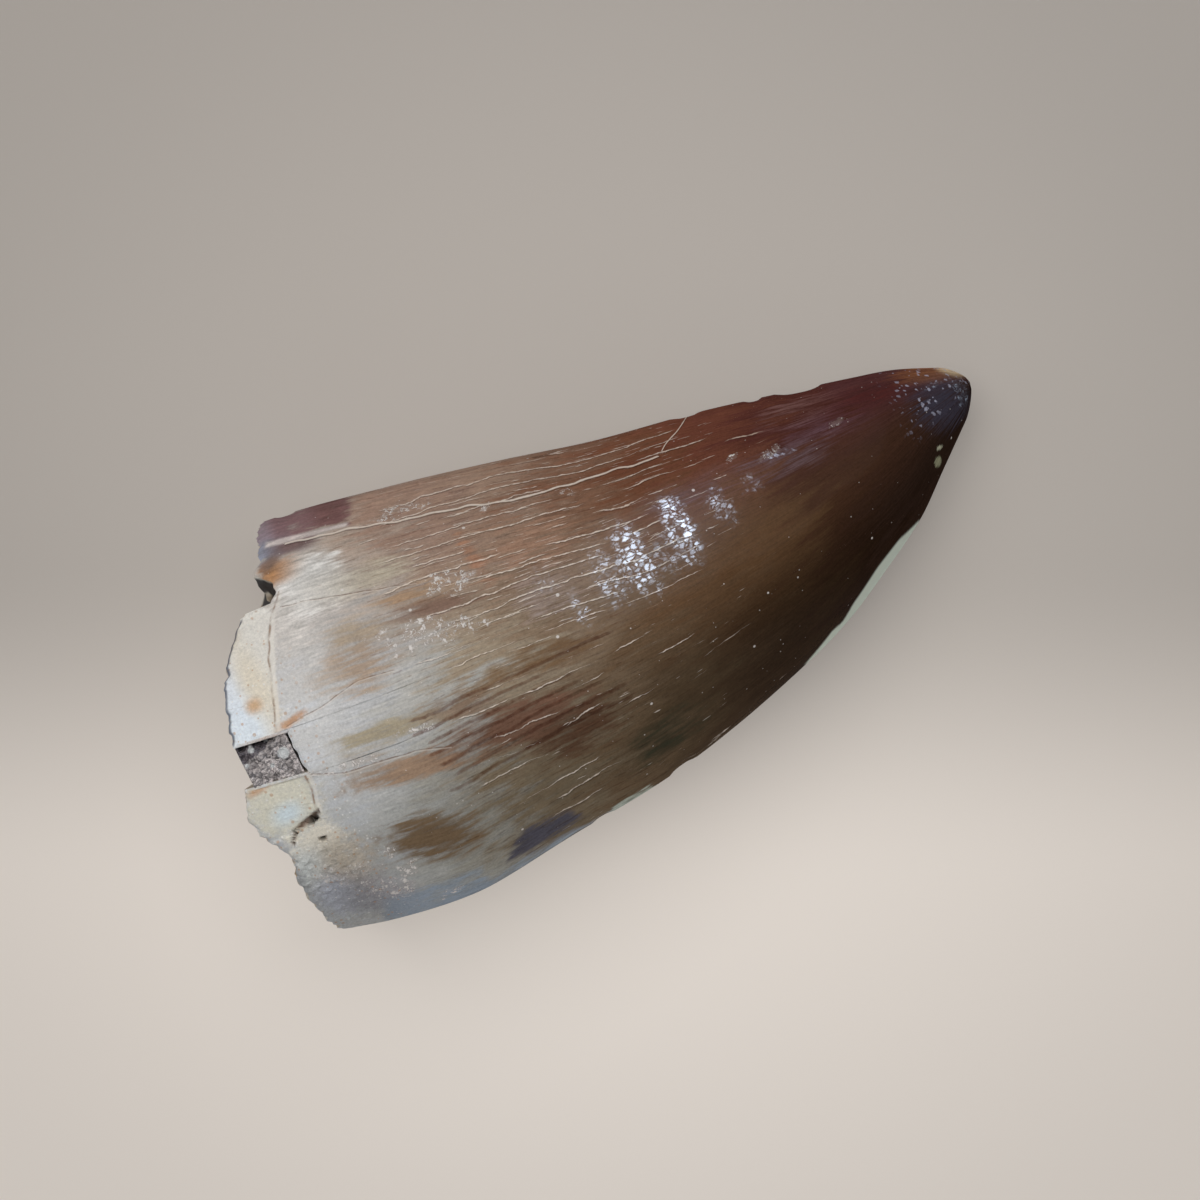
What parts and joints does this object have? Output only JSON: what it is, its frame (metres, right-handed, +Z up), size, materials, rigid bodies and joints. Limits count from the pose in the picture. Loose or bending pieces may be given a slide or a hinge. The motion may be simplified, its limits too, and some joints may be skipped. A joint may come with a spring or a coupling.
{
  "type": "fossil mosasaur tooth",
  "caption": "Fossil tooth crown with sharp cutting edges, a broken hollow base filled with sediment, and a blunt worn tip, lying on its side.",
  "frame": {"origin": "on the surface that the tooth lies on, under the middle of its bounding box", "axes": "+X from the broken base to the tip, +Y to the straighter cutting edge, +Z up, away from the flatter face"},
  "size_m": [0.055, 0.028, 0.02],
  "materials": {
    "enamel": "glossy fossil enamel, pale cream at the broken base and dark brown at the tip, with fine pale cracks",
    "sediment": "matt grey sandy sediment"
  },
  "bodies": {
    "root": {"tooth": "enamel", "matrix_plug": "sediment"}
  },
  "joints": []
}
